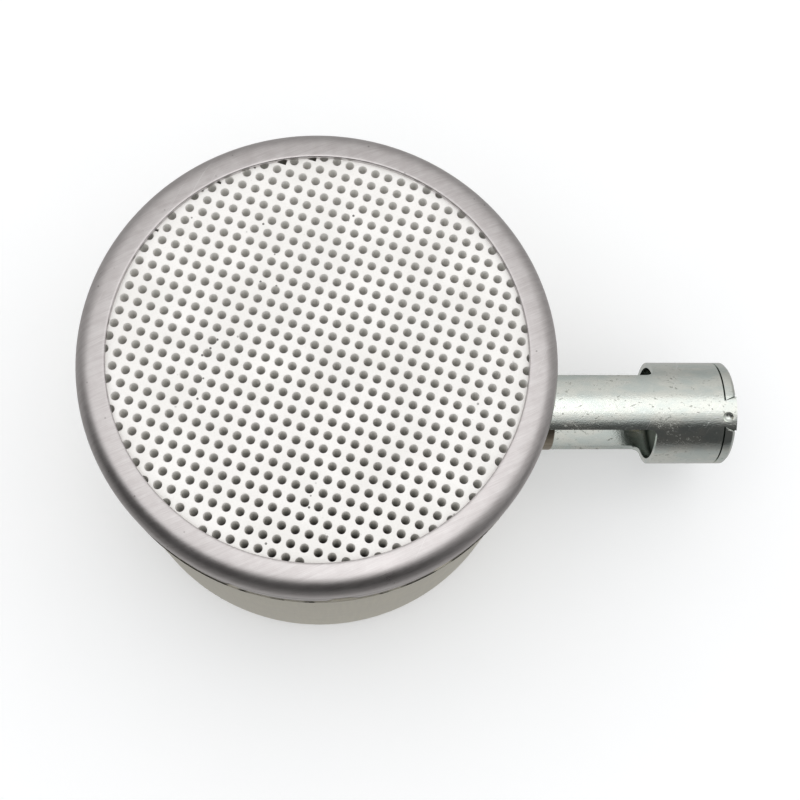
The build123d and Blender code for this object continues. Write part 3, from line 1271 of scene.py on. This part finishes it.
    def _close_edge(self, top: float, middle: float, radius: float) -> None:
        """Fill from the cells' ragged edge to a round one, and pull down the side.

        Args:
            top: Height of the face in metres.
            middle: Height of the mirror plane in metres.
            radius: Radius of the plaque in metres.
        """
        chamfer = self.plaque_chamfer * MM
        Bench.edit(Pick.EDGES)
        bpy.ops.mesh.primitive_circle_add(
            vertices=self.turn_steps, radius=radius - chamfer, location=(0, 0, top)
        )
        on_face = top - Bench.TINY * 10
        Bench.pick(
            Pick.EDGES, lambda e: len(e.link_faces) < 2 and all(v.co.z > on_face for v in e.verts)
        )
        bpy.ops.mesh.fill(use_beauty=True)
        edge = radius - chamfer - 1e-5
        Bench.pick(Pick.VERTS, lambda v: v.co.xy.length > edge)
        share = radius / (radius - chamfer)
        bpy.ops.mesh.extrude_region_move(TRANSFORM_OT_translate={"value": (0, 0, -chamfer)})
        bpy.ops.transform.resize(value=(share, share, 1), center_override=(0, 0, 0))
        bpy.ops.mesh.extrude_region_move(TRANSFORM_OT_translate={"value": (0, 0, middle - top + chamfer)})
        Bench.done()

    def dress(self) -> None:
        """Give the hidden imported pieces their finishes."""
        fibre = CeramicFibre().make("ceramic_fibre")
        sheet = PressedSteel().make("pressed_steel")
        self.dress_node("edge_gasket", fibre)
        self.dress_node("seat_gasket", fibre)
        self.dress_node("support_ledge", sheet)
        self.dress_node("distribution_baffle", sheet)

    def build(self, can_radius: float, sleeve_height: float, sleeve_radius: float) -> None:
        """Build and dress the whole head.

        Args:
            can_radius: Radius of the can's side.
            sleeve_height: Height of the sleeve's axis.
            sleeve_radius: Radius of the sleeve's hole in the can.
        """
        rim = self.build_rim()
        brushed = BrushedStainless().make(
            "brushed_stainless", high("rim_ring").z * MM, (high("rim_ring").x - self.rim_shoulder) * MM
        )
        self.hand_over(rim, "rim_ring", "stainless_rim", brushed)
        can = self.build_can(can_radius, sleeve_height, sleeve_radius)
        # Height where the painted shade in the crevice under the ring starts.
        seam = (low("rim_ring").z - self.seam - self.lip_height - self.seam_shade_below) * MM
        self.hand_over(can, "burner_can", "stainless_can", DrawnStainless().make("drawn_stainless", seam))
        plaque = self.build_plaque()
        top = high("ceramic_plaque").z * MM
        ceramic = BurnerCeramic().make("burner_ceramic", top, self.hole_mouth * MM)
        self.hand_over(plaque, "ceramic_plaque", "burner_ceramic", ceramic)
        self.dress()


@dataclass
class AirInlet(Assembly):
    """Windowed sleeve, mixing tube, plug and jet. Millimetres."""

    turn_steps: int = 128
    sleeve_wall: float = 0.8
    hole_gap: float = 0.05
    lip_out: float = 1.2
    arm_half_angle: float = 33.0
    window_gap: float = 0.1
    window_corner: float = 1.2
    collar_length: float = 10.3
    edge_round: float = 0.1
    tube_wall: float = 0.6
    tube_seat: float = 2.8
    tube_cone: float = 1.9
    plug_flange: float = 1.7
    plug_seam: float = 0.24
    plug_chamfer: float = 0.5
    thread_pitch: float = 1.0
    thread_depth: float = 0.5
    inlet_depth: float = 7.6
    inlet_radius: float = 4.46
    inlet_relief: float = 4.9
    relief_length: float = 2.8
    lead_in: float = 0.5
    thread_end: float = 0.6
    thread_form: tuple = ((0.1, 0.0), (0.45, 1.0), (0.6, 1.0), (0.95, 0.0))  # of pitch and depth
    body_gap: float = 0.03
    tongue_angle: float = 15.0
    tongue_root: float = 4.0
    tongue_end: float = 5.2
    tongue_gap: float = 0.08
    tongue_flare: float = 0.2
    dent_radius: float = 1.0
    dent_depth: float = 0.45
    dent_setback: float = 0.3
    dent_offset: float = 0.55
    jet_hole: float = 2.5
    jet_shank: float = 2.48
    jet_head_length: float = 2.0
    jet_tip: float = 1.2
    jet_orifice: float = 0.25
    jet_orifice_length: float = 1.0
    jet_bore: float = 0.8
    jet_mouth: float = 1.5
    jet_mouth_depth: float = 1.9
    jet_slot: float = 0.8
    jet_slot_depth: float = 0.7
    tube_play: float = 1.4
    mouth_round: float = 0.25
    mouth_round_inside: float = 0.2
    # How far past the collar's start the painted shade inside the bore begins, in millimetres.
    bore_shade_from: float = 0.6

    @property
    def axis_height(self) -> float:
        """Height of the sleeve's axis."""
        return (high("inlet_plug").z + low("inlet_plug").z) / 2

    @property
    def sleeve_radius(self) -> float:
        """Outside radius of the sleeve."""
        return high("inlet_plug").y

    @property
    def spindle(self) -> Spindle:
        """The sleeve's axis, with sections drawn upwards from it."""
        return Spindle(origin=(0, 0, self.axis_height * MM), along=(1, 0, 0), out=(0, 0, 1))

    def tongue(
        self, grow: float, turn: float, start: float, stop: float, flare: float = 0.0
    ) -> bpy.types.Object:
        """A dovetail block at one tongue's place, from the axis outwards.

        Args:
            grow: Added to each side of the dovetail.
            turn: Turn from the tongue's place on top, in degrees.
            start: Where the block starts along X.
            stop: Where the block stops along X.
            flare: Added to each side again at the far end of the flange.

        Returns:
            The block.
        """
        flange_start = high("inlet_plug").x - self.plug_flange
        slope = (self.tongue_end + 2 * flare - self.tongue_root) / self.plug_flange
        root = self.tongue_root / 2 + grow
        end = root + slope / 2 * (stop - flange_start)
        flat = Spindle(origin=(0, 0, self.axis_height * MM), along=(1, 0, 0), out=(0, 1, 0))
        section = [
            Corner(start, -root),
            Corner(flange_start, -root),
            Corner(stop, -end),
            Corner(stop, end),
            Corner(flange_start, root),
            Corner(start, root),
        ]
        block = Bench.prism("tongue_block", section, flat, Vector((0, 0, 2 * self.sleeve_radius * MM)))
        self.turn_about_axis(block, self.tongue_angle + turn)
        return block

    def turn_about_axis(self, piece: bpy.types.Object, angle: float) -> None:
        """Turn a piece about the sleeve's axis and apply the turn.

        Args:
            piece: The object to turn.
            angle: Turn in degrees, from the top towards -Y.
        """
        Bench.take(piece)
        bpy.context.scene.cursor.location = (0, 0, self.axis_height * MM)
        bpy.ops.object.origin_set(type="ORIGIN_CURSOR")
        piece.rotation_euler = (math.radians(angle), 0, 0)
        bpy.ops.object.transform_apply(location=True, rotation=True, scale=False)

    def dents(self, piece: bpy.types.Object) -> None:
        """Punch the stake marks into a piece at both tongues.

        Args:
            piece: The object that is punched.
        """
        middle = high("inlet_plug").x - self.plug_flange + self.dent_setback
        for turn in (0, 180):
            Bench.clear()
            bpy.ops.mesh.primitive_ico_sphere_add(
                subdivisions=3,
                radius=self.dent_radius * MM,
                location=(
                    middle * MM,
                    -self.dent_offset * MM,
                    (self.axis_height + self.sleeve_radius + self.dent_radius - self.dent_depth) * MM,
                ),
            )
            punch = bpy.context.object
            bpy.ops.object.transform_apply(location=True, rotation=False, scale=False)
            self.turn_about_axis(punch, self.tongue_angle + turn)
            Bench.cut(piece, punch)

    def build_sleeve(self, can_radius: float) -> bpy.types.Object:
        """Turn the sleeve, cut its windows and leave its two tongues.

        Args:
            can_radius: Radius of the can's side, where the windows start.

        Returns:
            The sleeve.
        """
        outer = self.sleeve_radius
        bore = outer - self.sleeve_wall
        root = low("air_sleeve").x
        end = high("inlet_plug").x
        flange_start = end - self.plug_flange
        sleeve_end = flange_start - self.plug_seam
        section = [
            Corner(root, bore),
            Corner(end, bore),
            Corner(end, outer),
            Corner(root + self.sleeve_wall, outer),
            Corner(root + self.sleeve_wall, outer + self.lip_out),
            Corner(root, outer + self.lip_out),
        ]
        sleeve = Bench.turn("air_sleeve_tube", section, self.spindle, self.turn_steps)
        self._cut_windows(sleeve, can_radius + self.window_gap, sleeve_end - self.collar_length)
        past = 2 * outer
        waste = Bench.turn(
            "tongue_waste",
            [Corner(sleeve_end, 0), Corner(end + 1, 0), Corner(end + 1, past), Corner(sleeve_end, past)],
            self.spindle,
            32,
        )
        for turn in (0, 180):
            Bench.cut(waste, self.tongue(0.0, turn, sleeve_end - 1, end + 2))
        Bench.cut(sleeve, waste)
        self.dents(sleeve)
        Bench.soften(sleeve, self.edge_round, 2, 40)
        return sleeve

    def _cut_windows(self, sleeve: bpy.types.Object, left: float, right: float) -> None:
        """Cut the two opposite windows, with round corners at the collar.

        Args:
            sleeve: The sleeve.
            left: Where the windows start along X.
            right: Where the windows end along X.
        """
        half = math.radians(90 - self.arm_half_angle)
        far = 4 * self.sleeve_radius
        flat = Spindle(origin=(left * MM, 0, self.axis_height * MM), along=(0, 1, 0), out=(0, 0, 1))
        for side in (-1, 1):
            section = [
                Corner(0, 0),
                Corner(side * far * math.cos(half), -far * math.sin(half)),
                Corner(side * far * math.cos(half), far * math.sin(half)),
            ]
            wedge = Bench.prism("window_wedge", section, flat, Vector(((right - left) * MM, 0, 0)))
            Bench.edit(Pick.EDGES)
            axis = Vector((0, self.axis_height * MM))
            Bench.pick(
                Pick.EDGES,
                lambda e: all(abs(v.co.x - right * MM) < Bench.TINY * 10 for v in e.verts)
                and min((Vector((v.co.y, v.co.z)) - axis).length for v in e.verts) < Bench.TINY * 10,
            )
            bpy.ops.mesh.bevel(offset=self.window_corner * MM, segments=6, affect="EDGES")
            Bench.tidy()
            Bench.cut(sleeve, wedge)

    def build_tube(self) -> bpy.types.Object:
        """Turn the mixing tube with its swelled seat and rounded mouth.

        Returns:
            The tube.
        """
        outer = high("mixing_tube").y
        tail = low("mixing_tube").x
        mouth = high("mixing_tube").x
        seat_start = low("backing_washer").x
        seat_end = seat_start + self.tube_seat
        slim = self.sleeve_radius - self.sleeve_wall - self.tube_play
        profile = [
            (tail, slim),
            (seat_start - self.tube_cone, slim),
            (seat_start, outer),
            (seat_end, outer),
            (seat_end + self.tube_cone, slim),
            (mouth, slim),
        ]
        section = [
            Corner(x, radius, self.mouth_round if x == mouth else 0.0, 3) for x, radius in profile
        ]
        for x, radius in reversed(profile):
            inside_round = self.mouth_round_inside if x == mouth else 0.0
            section.append(Corner(x, radius - self.tube_wall, inside_round, 3))
        return Bench.turn("mixing_tube_shell", section, self.spindle, self.turn_steps)

    def build_plug(self) -> bpy.types.Object:
        """Turn the plug with its threaded inlet, and cut the tongues' notches.

        Returns:
            The plug.
        """
        end = high("inlet_plug").x
        inner = low("inlet_plug").x
        outer = self.sleeve_radius
        flange_start = end - self.plug_flange
        body = outer - self.sleeve_wall - self.body_gap
        floor = end - self.inlet_depth
        thread_floor = floor + self.relief_length
        section = [
            Corner(inner, self.jet_hole),
            Corner(floor, self.jet_hole),
            Corner(floor, self.inlet_relief),
            Corner(thread_floor, self.inlet_relief),
            Corner(thread_floor, self.inlet_radius),
        ]
        turns = int((end - thread_floor - self.thread_end) / self.thread_pitch)
        thread_start = end - self.thread_end - turns * self.thread_pitch
        for number in range(turns):
            crest = thread_start + number * self.thread_pitch
            for share, depth in self.thread_form:
                cut = self.inlet_radius + depth * self.thread_depth
                section.append(Corner(crest + share * self.thread_pitch, cut))
        section += [
            Corner(end - self.lead_in, self.inlet_radius),
            Corner(end, self.inlet_radius + self.lead_in),
            Corner(end, outer - self.plug_chamfer, 0.08, 2),
            Corner(end - self.plug_chamfer, outer, 0.08, 2),
            Corner(flange_start, outer, 0.06, 2),
            Corner(flange_start, body),
            Corner(inner, body, 0.2, 2),
        ]
        plug = Bench.turn("inlet_plug_body", section, self.spindle, self.turn_steps, 24)
        seam_start = flange_start - self.plug_seam
        for turn in (0, 180):
            block = self.tongue(self.tongue_gap, turn, seam_start, end + 1, self.tongue_flare)
            core = Bench.turn(
                "notch_core",
                [Corner(inner - 1, 0), Corner(end + 3, 0), Corner(end + 3, body), Corner(inner - 1, body)],
                self.spindle,
                self.turn_steps,
            )
            Bench.cut(block, core)
            Bench.cut(plug, block)
        Bench.soften(plug, 0.05, 2, 40)
        return plug

    def build_jet(self) -> bpy.types.Object:
        """Turn the brass jet and saw its slot.

        Returns:
            The jet.
        """
        tip = low("gas_jet").x
        head_end = high("gas_jet").x
        head = high("gas_jet").y
        head_start = head_end - self.jet_head_length
        plug_face = low("inlet_plug").x
        mouth_floor = head_end - self.jet_mouth_depth
        orifice_end = tip + self.jet_orifice_length
        section = [
            Corner(tip, self.jet_orifice),
            Corner(tip, self.jet_tip, 0.15, 2),
            Corner(plug_face, self.jet_shank),
            Corner(head_start, self.jet_shank),
            Corner(head_start, head),
            Corner(head_end, head, 0.3, 3),
            Corner(head_end, self.jet_mouth, 0.15, 2),
            Corner(mouth_floor, self.jet_mouth),
            Corner(mouth_floor, self.jet_bore),
            Corner(orifice_end, self.jet_bore),
            Corner(orifice_end, self.jet_orifice),
        ]
        jet = Bench.turn("gas_jet_body", section, self.spindle, 64, 28)
        Bench.clear()
        bpy.ops.mesh.primitive_cube_add(size=1, location=(head_end * MM, 0, self.axis_height * MM))
        saw = bpy.context.object
        saw.scale = (2 * self.jet_slot_depth * MM, 4 * head * MM, self.jet_slot * MM)
        bpy.ops.object.transform_apply(location=True, rotation=False, scale=True)
        Bench.cut(jet, saw)
        Bench.soften(jet, 0.05, 2, 40)
        return jet

    def dress(self) -> None:
        """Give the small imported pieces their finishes."""
        centre = (0, 0, self.axis_height * MM)
        self.dress_node("backing_washer", PressedSteel(base=grey(0.5), roughness=0.38).make("washer_steel"))
        soft = TurnedMetal(grey(0.78, -0.01), grey(0.62), roughness=0.34).make("soft_aluminium", centre)
        self.dress_node("jet_washer", soft)
        bronze = PressedSteel(base=(0.5, 0.36, 0.2, 1), worn=(0.3, 0.2, 0.1, 1), roughness=0.6)
        self.dress_node("jet_filter", bronze.make("sintered_bronze"))

    def build(self, can_radius: float) -> None:
        """Build and dress the whole inlet.

        Args:
            can_radius: Radius of the can's side.
        """
        centre = (0, 0, self.axis_height * MM)
        bore = (self.sleeve_radius - self.sleeve_wall) * MM
        # Where the painted shade inside the sleeve's bore starts.
        collar = (high("inlet_plug").x - self.plug_flange - self.collar_length + self.bore_shade_from) * MM
        zinc = ZincPlate().make("zinc_plate", centre, bore, collar)
        brass = TurnedMetal((0.80, 0.62, 0.30, 1), (0.62, 0.46, 0.20, 1)).make("turned_brass", centre)
        self.hand_over(self.build_sleeve(can_radius), "air_sleeve", "zinc_plate", zinc)
        self.hand_over(self.build_tube(), "mixing_tube", "inner_tube_steel", TubeSteel().make("tube_steel"))
        self.hand_over(self.build_plug(), "inlet_plug", "zinc_plate", zinc)
        self.hand_over(self.build_jet(), "gas_jet", "jet_brass", brass)
        self.dress()


# --------------------------------------------------------------------- studio
@dataclass(frozen=True)
class SoftBox:
    """One flat lamp that faces straight down. Metres."""

    name: str
    centre: tuple[float, float, float]
    size: tuple[float, float]
    radiance: float

    def hang(self) -> None:
        """Hang the lamp."""
        lamp = bpy.data.lights.new(self.name, "AREA")
        lamp.shape = "RECTANGLE"
        lamp.size, lamp.size_y = self.size
        lamp.energy = self.radiance * math.pi * self.size[0] * self.size[1]
        holder = bpy.data.objects.new(self.name, lamp)
        holder.location = self.centre
        bpy.context.scene.collection.objects.link(holder)


@dataclass
class Studio:
    """Pale floor, soft light and the camera. Metres and degrees."""

    floor_size: float = 6.0
    room_radius: float = 2.5
    sky: float = 0.92
    floor_tone: float = 0.93
    floor_lift: float = 0.10
    floor_glow: float = 0.48
    mirror_gap: float = 0.00005
    wall_tone: tuple[float, float] = (0.40, 0.42)  # halfway up, and added towards the top
    front_tone: tuple[float, float] = (0.07, 0.95)  # low down, and at the top
    room_back: tuple[float, float] = (0.34, 0.94)  # the way to the back, east and north
    camera_film: float = 36.0
    boxes: tuple[SoftBox, ...] = (
        SoftBox("overhead", (0.0, 0.035, 0.63), (1.5, 0.39), 0.42),
        SoftBox("overhead_core", (0.057, 0.0, 0.62), (0.115, 0.24), 1.05),
    )
    camera_place: tuple[float, float, float] = (0.001662, -0.049453, 0.208503)
    camera_turn: tuple[float, float, float] = (14.946, -2.980, -0.769)
    lens: float = 57.26

    def lay_floor(self) -> None:
        """Lay a plain pale floor that the head stands on."""
        Bench.clear()
        bpy.ops.mesh.primitive_plane_add(size=self.floor_size, location=(0, 0, CAD_BOX[0][2]))
        floor = bpy.context.object
        floor.name = "floor"
        shader = Shader("pale_floor")
        paper = shader.noise((40, 40, 40), detail=2.0)
        colour = shader.mix(paper, grey(self.floor_tone - 0.02), grey(self.floor_tone))
        white = (self.floor_lift, self.floor_lift, self.floor_lift, 1.0)
        paint = shader.finish(Base_Color=colour, Roughness=0.9, Emission_Color=white, Emission_Strength=1.0)
        floor.data.materials.append(paint)
        floor.visible_glossy = False

    @staticmethod
    def reflect_only(piece: bpy.types.Object) -> None:
        """Let only shiny surfaces see a piece of the room, and none of its light fall."""
        piece.visible_camera = False
        piece.visible_diffuse = False
        piece.visible_shadow = False
        piece.visible_transmission = False

    def glow(self, shader: Shader, strength: Sock) -> bpy.types.Material:
        """Close a material that only glows.

        Args:
            shader: The material so far.
            strength: Brightness.

        Returns:
            The material.
        """
        colour = shader.tint((1.0, 0.985, 0.965), strength)
        return shader.finish(
            Base_Color=(0, 0, 0, 1), Roughness=1.0, Emission_Color=colour, Emission_Strength=1.0
        )

    def raise_room(self) -> None:
        """Put a soft round room about the head, darker to the front, for the metal to mirror."""
        Bench.clear()
        bpy.ops.mesh.primitive_uv_sphere_add(segments=48, ring_count=24, radius=self.room_radius)
        room = bpy.context.object
        room.name = "room"
        shader = Shader("room_walls")
        unit = shader.place((1 / self.room_radius,) * 3)
        east, north, up = shader.parts(unit)
        back = north * self.room_back[1] + east * self.room_back[0]
        plain = up * self.wall_tone[1] + self.wall_tone[0]
        front = up.step(0.72, 0.97, *self.front_tone)
        share = back.step(0.0, -0.5)
        light = plain * (1.0 - share) + front * share
        room.data.materials.append(self.glow(shader, light))
        self.reflect_only(room)

    def lay_mirror_floor(self) -> None:
        """Lay the floor as the metal mirrors it: bright by the head, and darker far in front of it."""
        Bench.clear()
        height = CAD_BOX[0][2] - self.mirror_gap
        bpy.ops.mesh.primitive_plane_add(size=self.floor_size, location=(0, 0, height))
        card = bpy.context.object
        card.name = "mirrored_floor"
        shader = Shader("mirrored_floor")
        east, back, _ = shader.parts(shader.coordinates)
        away = (east * east + back * back) ** 0.5
        dim = away.step(0.045, 0.15) * back.step(0.05, -0.1, 0.15, 0.6)
        card.data.materials.append(self.glow(shader, (1.0 - dim) * self.floor_glow))
        self.reflect_only(card)

    def light(self) -> None:
        """Set the soft surroundings and the lamps."""
        world = bpy.data.worlds.new("soft_room")
        world.use_nodes = True
        backdrop = world.node_tree.nodes["Background"]
        backdrop.inputs["Color"].default_value = (0.98, 0.99, 1.0, 1.0)
        backdrop.inputs["Strength"].default_value = self.sky
        bpy.context.scene.world = world
        for box in self.boxes:
            box.hang()

    def set_camera(self) -> None:
        """Set the camera that the head is seen from."""
        data = bpy.data.cameras.new("view")
        data.lens = self.lens
        data.sensor_width = self.camera_film
        data.clip_start = 0.005
        data.dof.use_dof = False
        camera = bpy.data.objects.new("view", data)
        camera.location = self.camera_place
        camera.rotation_euler = tuple(math.radians(angle) for angle in self.camera_turn)
        bpy.context.scene.collection.objects.link(camera)
        bpy.context.scene.camera = camera

    def build(self) -> None:
        """Build the whole studio."""
        self.lay_floor()
        self.raise_room()
        self.lay_mirror_floor()
        self.light()
        self.set_camera()
        bpy.context.scene.view_settings.view_transform = "Standard"
        LOG.info("studio is set")


def main() -> None:
    """Build the burner head's pieces and its studio in order."""
    logging.basicConfig(level=logging.INFO, format="%(name)s: %(message)s")
    inlet = AirInlet()
    head = BurnerHead()
    can_radius = high("inlet_plug").x - SLEEVE_REACH
    head.build(can_radius, inlet.axis_height, inlet.sleeve_radius + inlet.hole_gap)
    inlet.build(can_radius)
    Studio().build()


if __name__ == "__main__":
    main()
